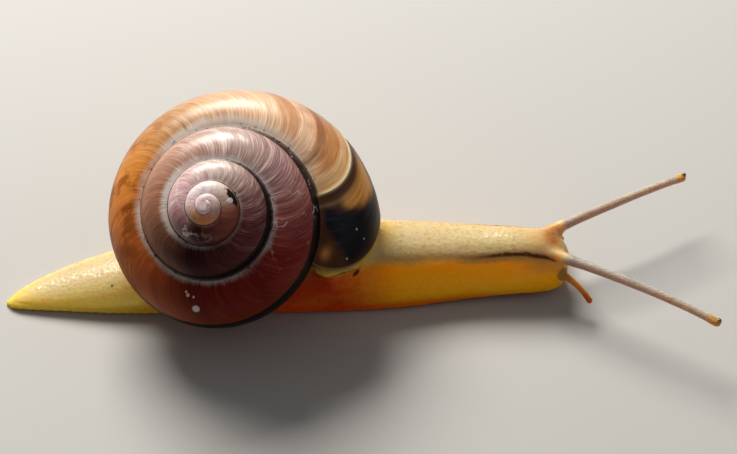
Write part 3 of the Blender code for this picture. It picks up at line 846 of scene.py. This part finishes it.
def along_tentacle(places, line):
    """Each place's share of the way along a tentacle, and its distance from the middle line."""
    course = course_of(line)
    tree = finder(course)
    low, high = course.min(axis=0) - 2.0, course.max(axis=0) + 2.0
    best = np.full(len(places), 1e9)
    found = np.zeros(len(places))
    for index in np.flatnonzero(np.all((places > low) & (places < high), axis=1)):
        _, nearest, best[index] = tree.find(places[index])
        found[index] = nearest / (len(course) - 1)
    return found, best


def widths_along(share, away, own):
    """A tentacle's usual radius at even steps along it."""
    steps = np.linspace(0.0, 1.0, 26)
    near = [(own > 0.5) & (np.abs(share - step) < 0.04) for step in steps]
    known = [(step, np.median(away[held])) for step, held in zip(steps, near) if np.any(held)]
    return np.array(known).T


def rounded(places, line, widths):
    """Puts the places of a tentacle at one distance from its middle line, step by step."""
    share, away = along_tentacle(places, line)
    course = course_of(line)
    wanted = np.interp(share, *widths) - SLIM
    last = line[4]
    much = ramp(away, wanted * 1.9, wanted * 1.25) * ramp(share, 0.16, 0.30)
    much *= ramp(share, last + 0.03, last)
    held = np.flatnonzero(much > 0.0)
    off = places[held] - course[np.round(share[held] * (len(course) - 1)).astype(int)]
    places[held] += off * ((wanted[held] / away[held] - 1.0) * much[held])[:, None]


def from_lip(places):
    """How far each place is from the edge of the shell's mouth, up to the collar's reach."""
    growth = shell.data.uv_layers["growth"].data
    edge = {round(spot.uv[1], 4): shell.data.vertices[loop.vertex_index].co / MM
            for loop, spot in zip(shell.data.loops, growth)
            if abs(spot.uv[0]) < 0.0004 and spot.uv[1] < 2.0}
    rows = sorted(edge)
    points = np.array([edge[row] for row in rows])
    steps = np.linspace(rows[0], rows[-1], 900)
    tree = finder(np.array([np.interp(steps, rows, points[:, k]) for k in range(3)]).T)
    away = np.full(len(places), COLLAR_REACH)
    for index in np.flatnonzero(places[:, 2] > COLLAR_ABOVE):
        away[index] = min(COLLAR_REACH, tree.find(places[index])[2])
    return away


def evened(mesh, places, share, rounds):
    """Moves places towards the middle of their neighbours, by their share, round by round."""
    flat = np.empty(len(mesh.edges) * 2, dtype=np.int32)
    mesh.edges.foreach_get("vertices", flat)
    first, second = flat.reshape(-1, 2).T
    ends = np.concatenate((first, second))
    others = np.concatenate((second, first))
    counts = np.bincount(ends, minlength=len(places))
    for _ in range(rounds):
        middles = np.array([np.bincount(ends, places[others, k], len(places)) / counts
                            for k in range(3)]).T
        places = places + (middles - places) * (share * 0.5)[:, None]
    return places


def near_solid(places, name, reach):
    """1 on a node's own surface, falling to 0 at the reach."""
    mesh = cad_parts[name].data
    tree = BVHTree.FromPolygons([vertex.co / MM for vertex in mesh.vertices],
                                [face.vertices[:] for face in mesh.polygons])
    low, high = (np.array(corner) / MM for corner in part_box(name))
    share = np.zeros(len(places))
    inside = np.all((places > low - reach) & (places < high + reach), axis=1)
    for index in np.flatnonzero(inside):
        away = tree.find_nearest(Vector(places[index]))[3]
        share[index] = max(0.0, 1.0 - away / reach)
    return share


def kinds_of(mesh, places):
    """Keeps on the mesh where each point lies on the body, and slims the tentacles."""
    body = np.array(BODY_LINE)
    middle, half, height = (np.interp(places[:, 0], body[:, 0], body[:, k]) for k in (1, 2, 3))
    tentacle = np.zeros(len(places))
    along = np.zeros(len(places))
    widths = []
    for line in TENTACLE_LINES:
        share, away = along_tentacle(places, line)
        own = ramp(away, line[3] * 2.3, line[3] * 1.35) * ramp(share, 0.10, 0.24)
        along = np.where(own > tentacle, share, along)
        tentacle = np.maximum(tentacle, own)
        widths.append(widths_along(share, away, own))
    mantle = near_solid(places, "mantle_collar", MANTLE_FADE)
    places -= normals_of(mesh) * (SLIM * tentacle)[:, None]
    set_places(mesh, places)
    kinds = {"side": (places[:, 1] - middle) / half, "lift": places[:, 2] / height,
             "tentacle": tentacle, "along": along, "mantle": mantle}
    for name, values in kinds.items():
        mesh.attributes.new(name, "FLOAT", "POINT").data.foreach_set("value", values)
    return tentacle, along, mantle, widths


def sleeked(skin, places, tentacle, along, mantle):
    """Smooths the skin, with more rounds where the solids' joints are rougher."""
    x, y, z = places.T
    off = np.abs(x - CORNER_X)
    stalk = ramp(off, 6.0, 2.5) * ramp(np.abs(z - 4.4), 3.5, 2.0)
    stalk *= ramp(mantle, 0.75, 0.45) * ramp(np.abs(y), 2.2, 3.0)
    corner = ramp(mantle, 0.2, 0.5) * ramp(off, 3.5, 2.0) * ramp(z, 8.0, 7.2)
    shaft = tentacle * ramp(along, 0.97, 0.90)
    for rounds, share in ((SLEEK_ALL, np.ones(len(places))), (SLEEK_BODY, 1.0 - tentacle + shaft),
                          (SLEEK_STALK, stalk), (SLEEK_CORNER, corner)):
        group = skin.vertex_groups.new(name=f"sleek_{rounds}")
        for level in range(1, SLEEK_LEVELS + 1):
            chosen = np.flatnonzero(np.round(share * SLEEK_LEVELS) == level)
            group.add(chosen.tolist(), level / SLEEK_LEVELS, "REPLACE")
        sleek = skin.modifiers.new("sleek", "SMOOTH")
        sleek.factor = 0.5
        sleek.iterations = rounds
        sleek.vertex_group = group.name
    apply_modifiers(skin)
    skin.vertex_groups.clear()


def rolled_collar(mesh, places):
    """The places with the collar's two rolls, and how far each place is from the lip."""
    away = from_lip(places)
    away -= COLLAR_OUT * ramp(places[:, 0], 9.5, 7.5) * ramp(places[:, 1], -1.5, -2.5)
    roll = ramp(away, COLLAR_ROLL + 0.05, COLLAR_ROLL - 0.2)
    roll += SECOND_ROLL * ramp(away, COLLAR_WIDTH + 0.15, COLLAR_WIDTH - 0.15)
    roll -= SECOND_ROLL * np.exp(-((away - COLLAR_ROLL) / CREASE) ** 2)
    places = places + normals_of(mesh) * (ROLL * roll)[:, None]
    return evened(mesh, places, ramp(away, 2.0, 1.4), EVEN_ROUNDS), away


def blunt_tail(places):
    """Rounds off the tail's tip."""
    past = np.clip((TAIL_ROUND - places[:, 0]) / TAIL_END, 0.0, 1.0)
    narrow = np.sqrt(1.0 - TAIL_NARROWS * past ** 3)
    places[:, 0] += past * TAIL_BACK
    places[:, 1] += (BODY_LINE[0][1] - places[:, 1]) * (1.0 - narrow)
    places[:, 2] *= TAIL_FLAT + (1.0 - TAIL_FLAT) * narrow


def grain_tree():
    """Flat tubercles parted by fine furrows, and the groove and frill of the foot's edge."""
    make, sizes = new_tree("skin_grain", GRAIN_SIZES, takes_mesh=True)
    tentacle, mantle = make.kept("tentacle"), make.kept("mantle")
    x, y, z = make.parts(make.node("GeometryNodeInputPosition"))
    cell = sizes["Grain"] * MM
    spread = make.vector(x / (cell * sizes["Stretch"]), y / cell, z / cell)
    furrow = make.node("ShaderNodeTexVoronoi", {"feature": "DISTANCE_TO_EDGE"},
                       {"Vector": make.bent(spread, 0.7, 0.8), "Scale": 1.0})
    facing = make.parts(make.node("GeometryNodeInputNormal"))[2]
    above = facing.rise(-0.75, -0.25) * (z / MM).rise(0.15, 0.7)
    plain = (1.0 - tentacle) * (1.0 - mantle * 0.8)
    sunk = (1.0 - furrow.rise(0.0, 0.20)) * sizes["Grain height"] * above * plain
    flank = abs(make.kept("side")).rise(0.6, 0.85) * plain
    groove = (z / MM).hump(sizes["Foot groove"], 0.09) * sizes["Groove depth"] * flank
    waves = ((x / MM) * sizes["Frill pace"]).sine()
    frill = waves * (z / MM).rise(0.7, 0.35) * sizes["Frill height"] * flank
    push = (frill - sunk - groove) * MM
    moved = make.node("ShaderNodeVectorMath", {"operation": "SCALE"},
                      {"Vector": make.node("GeometryNodeInputNormal"), "Scale": push})
    mesh = make.node("GeometryNodeSetPosition", None,
                     {"Geometry": sizes["Mesh"], "Offset": moved})
    return make.end_with(mesh, "moist_skin")


CREAM = (0.49, 0.41, 0.235)
# painted light: a brighter, yellower cream where the tail's near, lower side is lit
TAIL_LIT_CREAM = (1.0, 0.80, 0.20)
FAR_FLANK = (0.62, 0.35, 0.055)
# the flank's gold, partly real colour and partly a painted glow of light through the skin
GOLD_GLOW = (1.0, 0.62, 0.060)
HEAD_GOLD = (0.48, 0.31, 0.120)
# the flank's amber, partly real colour and partly a painted glow of light through the skin
AMBER_GLOW = (1.0, 0.49, 0.001)
FOOT_EDGE = (1.0, 0.085, 0.001)
TAIL_EDGE = (0.92, 0.55, 0.065)
# painted shadow: the deep red where the shell shades the neck
SHELL_SHADOW_RED = (0.62, 0.045, 0.0005)
SIDE_LINE = (0.052, 0.020, 0.004)
LINE_BROWN = (0.26, 0.10, 0.018)
DUSKY = (0.34, 0.17, 0.030)
UPPER_GREY = (0.310, 0.325, 0.315)
UPPER_CORE = (0.150, 0.160, 0.155)
UPPER_TIP = (0.36, 0.24, 0.090)
LOWER_BROWN = (0.34, 0.20, 0.060)
LOWER_ROOT = (0.38, 0.27, 0.085)
COLLAR_GREEN = (0.46, 0.335, 0.070)
COLLAR_GOLD = (0.42, 0.25, 0.040)
TAN = (0.68, 0.44, 0.090)
HEAD_RUST = (0.32, 0.125, 0.035)
# the breathing pore's dark is painted shade, standing in for its opening, which is not modelled
DARK_SPOTS = (                   # place, radius, strength: a speck, and the breathing pore
    ((-8.6, -2.2, 2.25), 0.11, 0.8),
    ((10.15, -3.05, 4.68), 0.38, 0.95),
)


def skin_patterns(on):
    """Where a place lies on the body, and the noises that its colours share."""
    make = on.make
    on.x, on.y, on.z = (part / MM for part in make.parts(on.place))
    on.side, on.lift, on.tentacle, on.along, on.lip = (
        make.node("ShaderNodeAttribute", {"attribute_name": name}, None, "Fac")
        for name in ("side", "lift", "tentacle", "along", "lip"))
    on.clouds = on.noise(on.place, 420.0, 3.0, 0.55)
    on.fleck = on.noise(on.place, 2600.0, 2.0, 0.6)
    on.pores = on.noise(on.place, 7000.0, 2.0, 0.6)
    on.cells = make.node("ShaderNodeTexVoronoi", {"feature": "F1"},
                         {"Vector": make.bent(on.place, 1500.0, 0.0003), "Scale": 3300.0})
    on.level = on.lift + (on.clouds - 0.5) * 0.10 + (on.fleck - 0.5) * 0.05
    on.tail = on.x.rise(-2.0, -7.0)
    on.root = on.tentacle.rise(0.0, 0.03) * on.z.rise(2.8, 3.5)


def upper_side(on):
    """1 on the pale upper side of the body, 0 on its flanks."""
    neck = on.x.rise(7.0, 11.5)
    top = on.level - (0.50 + neck * 0.26 - on.tail * 0.34)
    top = top / (0.44 - neck * 0.30 - on.tail * 0.14)
    sides = on.side.rise(1.2, 0.85) * on.side.rise(-1.0, -0.55)
    sides = sides.most(on.tail * abs(on.side).rise(1.12, 0.98))
    return (top.rise(0.0, 1.0) * sides).most(on.root)


def flank_colour(on):
    """Gold behind and amber in front, partly a painted glow on the near side; a painted red shadow
    where the shell shades the neck; and calmer on the far side.
    """
    low = on.mix(on.x.rise(-9.0, 4.0), GOLD_GLOW, AMBER_GLOW)
    low = on.mix(on.x.rise(14.0, 8.5) * on.x.rise(-9.0, -2.0), low, SHELL_SHADOW_RED)
    low = on.mix(on.side.rise(-0.2, 0.5) * 0.85, low, FAR_FLANK)
    return on.mix(on.clouds.rise(0.35, 0.7) * 0.20, low, GOLD_GLOW)


def lay_body(on, top, low):
    """The pale back over the flanks, with a painted pool of light on the tail's near side, tan
    between them, flecks, and a golden head.
    """
    x, tail, root = on.x, on.tail, on.root
    # painted light: brighter cream on the tail's near, lower side
    tail_lit_share = tail * on.side.rise(0.2, -0.5) * on.level.rise(1.05, 0.50)
    on.colour = on.mix(top, low, on.mix(tail_lit_share, CREAM, TAIL_LIT_CREAM))
    between = top.hump(0.5, 0.32) * (1.0 - root) * x.rise(24.5, 22.0)
    on.lay(between * 0.6, TAN)
    flecks = on.fleck.rise(0.5, 0.3) * 0.36 * top * (1.0 - tail * 0.7)
    on.lay(flecks, DUSKY)
    crown = x.rise(21.5, 24.5) * (1.0 - root) * on.lift.rise(0.45, 0.80)
    on.lay(crown * 0.6, HEAD_GOLD)


def lay_side_line(on):
    """The dark line from the tentacle's root along the neck, and the dusk it ends in."""
    x, side, fleck = on.x, on.side, on.fleck
    dusk = on.level.hump(0.87, 0.05) * x.rise(11.0, 14.0) * x.rise(25.5, 21.0)
    on.lay(dusk * (0.2 + fleck * 0.5), DUSKY)
    course = 0.862 + 0.034 * x.hump(22.0, 2.2) + (fleck - 0.5) * 0.03
    line = on.lift.hump(course, 0.027) * abs(side).rise(0.3, 0.45) * x.rise(17.0, 22.0)
    line = line * x.rise(25.7, 24.7) * (1.0 - side.rise(-0.2, 0.2) * x.rise(24.2, 24.8))
    on.lay((line * 1.6 * (0.4 + fleck)).least(0.9), LINE_BROWN)
    on.lay((line * (0.3 + fleck * 1.6)).rise(0.42, 1.05) * 0.75, SIDE_LINE)


def lay_brow_and_foot(on):
    """The rusty patch between the upper tentacles, and the foot's bright edge."""
    x, z = on.x, on.z
    rust = x.hump(25.1, 0.75) * on.side.hump(0.10, 0.50) * on.lift.rise(0.80, 0.92)
    on.lay((rust * (0.5 + on.fleck)).least(0.90), HEAD_RUST)
    rim = z.rise(1.50, 0.30) * (1.0 - on.tentacle)
    edge = on.mix(x.rise(-9.0, 3.0), TAIL_EDGE, FOOT_EDGE)
    on.lay(rim * 0.80, edge)


def lay_tentacles(on):
    """The upper tentacles' streaked grey and the lower ones' brown."""
    along, high = on.along, on.z.rise(3.05, 3.5)
    streak = on.noise(on.make.vector(along * 3.0, on.side * 9.0, on.z * 5.0), 3.0, 2.0, 0.6)
    upper = on.mix(streak.rise(0.40, 0.65) * 0.6, UPPER_GREY, UPPER_CORE)
    upper = on.mix(along.rise(0.92, 0.975), upper, UPPER_TIP)
    lower = on.mix(along.rise(0.45, 0.20), LOWER_BROWN, LOWER_ROOT)
    lower = on.mix(along.rise(0.55, 0.95), lower, LINE_BROWN)
    own = on.tentacle.rise((1.0 - high) * 0.50, 0.35 + (1.0 - high) * 0.65)
    on.lay(own, on.mix(high, lower, upper))


def lay_collar(on):
    """The collar's two rolls, the crease between them, and the tan skin round them."""
    lip, x = on.lip, on.x
    ragged = lip + (on.clouds - 0.5) * 0.25
    on.lay(lip.rise(2.9, 1.4) * 0.6 * x.rise(9.5, 11.5), TAN)
    collar = ragged.rise(COLLAR_ROLL + 0.06, COLLAR_ROLL - 0.04)
    second = ragged.rise(COLLAR_WIDTH + 0.10, COLLAR_WIDTH - 0.15) * (1.0 - collar)
    on.lay(second * 0.75, COLLAR_GOLD)
    on.lay(collar, COLLAR_GREEN)
    crease = ragged.hump(COLLAR_ROLL, 0.07) * x.rise(11.5, 9.5)
    on.lay(crease * 0.8, LINE_BROWN)


def skin_finish():
    on = Coat("moist_skin")
    skin_patterns(on)
    top = upper_side(on)
    low = flank_colour(on)
    lay_body(on, top, low)
    lay_side_line(on)
    lay_brow_and_foot(on)
    lay_tentacles(on)
    lay_collar(on)
    on.lay(on.cells.rise(0.35, 0.75) * 0.18 * (1.0 - top * 0.7), low, "MULTIPLY")
    for middle, radius, strength in DARK_SPOTS:
        off = [part - at for part, at in zip((on.x, on.y, on.z), middle)]
        away = (off[0] * off[0] + off[1] * off[1] + off[2] * off[2]).root()
        on.lay(away.rise(radius * 1.3, radius * 0.6) * strength, SIDE_LINE)
    glint = on.noise(on.place, 3600.0, 1.0, 0.5).rise(0.58, 0.64)
    rough = 0.30 + on.pores * 0.22 + on.clouds * 0.08
    on.finish({
        "Base Color": on.colour,
        "Roughness": rough * (1.0 - glint * 0.7),
        "Specular IOR Level": 0.16,
        "Coat Weight": 0.02 + top * 0.10 + glint * top * 0.20,
        "Coat Roughness": 0.12,
        "Subsurface Weight": 0.8,
        "Subsurface Radius": (1.0, 0.45, 0.10),
        "Subsurface Scale": 0.0028,
        "Normal": on.bump(on.cells * 0.6 + on.pores * 0.4, 0.38, 0.00008),
    })


# merged from swollen solids, the skin is drawn back in by the swell, then smoothed
skin = bare_skin()
places = places_of(skin.data) - normals_of(skin.data) * SWELL
set_places(skin.data, places)
tentacle, along, mantle, widths = kinds_of(skin.data, places)
sleeked(skin, places, tentacle, along, mantle)
# what smoothing shrinks or blurs is shaped again: the tentacles, the collar and the tail
places = places_of(skin.data)
for line, width in zip(TENTACLE_LINES, widths):
    rounded(places, line, width)
places, away = rolled_collar(skin.data, places)
blunt_tail(places)
set_places(skin.data, places)
skin.data.attributes.new("lip", "FLOAT", "POINT").data.foreach_set("value", away)
skin_finish()
apply_tree(skin, grain_tree(), GRAIN_SIZES)
# the sole stays flat on the ground
places = places_of(skin.data)
places[:, 2] = np.maximum(places[:, 2], 0.0)
set_places(skin.data, places)
skin.data.shade_smooth()
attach(skin, "root")
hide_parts(*SKIN_NODES)


# ---- the eyes -----------------------------------------------------------------------
# Each upper tentacle carries a simple eye in the top of its tip: a clear, domed lens
# over a cup of dark pigment, which shows brown at its edge.
EYE_SEGMENTS = 40
EYE_RINGS = 24
EYE_DARK = (0.085, 0.042, 0.017)
EYE_EDGE = (0.42, 0.25, 0.080)


def eye_finish():
    on = Coat("eye_lens")
    facing = on.make.parts(on.make.node("ShaderNodeNewGeometry", None, None, "Normal"))[2]
    grain = on.noise(on.place, 9000.0, 2.0, 0.6)
    share = (facing + (grain - 0.5) * 0.5).rise(0.45, 0.90)
    on.finish({
        "Base Color": on.mix(share, EYE_EDGE, EYE_DARK),
        "Roughness": 0.10 + grain * 0.10,
        "Coat Weight": 0.6,
        "Coat Roughness": 0.04,
    })
    return on.material


eye_colour = eye_finish()
for hand in ("left", "right"):
    low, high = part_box(f"eye_{hand}")
    work = bmesh.new()
    bmesh.ops.create_uvsphere(work, u_segments=EYE_SEGMENTS, v_segments=EYE_RINGS,
                              radius=(high[0] - low[0]) / 2.0)
    bmesh.ops.translate(work, verts=work.verts, vec=(Vector(low) + Vector(high)) / 2.0)
    ball = bpy.data.meshes.new(f"eyeball_{hand}")
    work.to_mesh(ball)
    work.free()
    ball.shade_smooth()
    ball.materials.append(eye_colour)
    eye = placed(f"eyeball_{hand}", ball)
    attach(eye, "root")
    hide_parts(f"eye_{hand}")


# ---- the floor, the light and the camera -------------------------------------------
# A plain pale floor under a soft box behind the model and a weak one in front of it.
# The camera looks down on the model's right side.
FLOOR_HALF = 1.0                 # half the floor's side, in metres
FLOOR_COLOUR = (0.42, 0.41, 0.395)
ROOM_COLOUR = (0.88, 0.88, 0.88)
ROOM_STRENGTH = 0.22
LENS = 78.15                     # focal length in millimetres
NEAREST = 0.005                  # nearest distance that the camera sees, in metres
CAMERA_PLACE = (0.011, -0.08066, 0.0961)   # in metres
CAMERA_TILT = math.radians(42.0)
floor_mesh = bpy.data.meshes.new("floor")
corners = [(x * FLOOR_HALF, y * FLOOR_HALF, 0.0) for x, y in ((-1, -1), (1, -1), (1, 1), (-1, 1))]
floor_mesh.from_pydata(corners, [], [(0, 1, 2, 3)])
floor = placed("floor", floor_mesh)
matt = Coat("floor")
matt.finish({"Base Color": FLOOR_COLOUR, "Roughness": 0.9})
floor_mesh.materials.append(matt.material)


def softbox(name, place, size, power, colour):
    """A soft box that faces the middle of the model; its place and size are in metres."""
    lamp = bpy.data.lights.new(name, "AREA")
    lamp.shape = "RECTANGLE"
    lamp.size, lamp.size_y = size
    lamp.energy = power
    lamp.color = colour
    thing = placed(name, lamp)
    thing.location = place
    to_model = Vector((0.0, 0.0, 0.005)) - Vector(place)
    thing.rotation_euler = to_model.to_track_quat("-Z", "Y").to_euler()


softbox("key", (-0.07, 0.19, 0.20), (0.18, 0.12), 1.38, (1.0, 0.97, 0.92))
softbox("fill", (0.30, -0.10, 0.30), (0.40, 0.40), 0.13, (0.95, 0.97, 1.0))
scene = bpy.context.scene
scene.view_settings.view_transform = "Standard"
scene.view_settings.look = "Medium High Contrast"
world = bpy.data.worlds.new("room")
world.use_nodes = True
backdrop = world.node_tree.nodes["Background"]
backdrop.inputs["Color"].default_value = (*ROOM_COLOUR, 1.0)
backdrop.inputs["Strength"].default_value = ROOM_STRENGTH
scene.world = world

lens = bpy.data.cameras.new("camera")
lens.lens = LENS
lens.clip_start = NEAREST
camera = placed("camera", lens)
camera.location = CAMERA_PLACE
camera.rotation_euler = (CAMERA_TILT, 0.0, 0.0)
scene.camera = camera
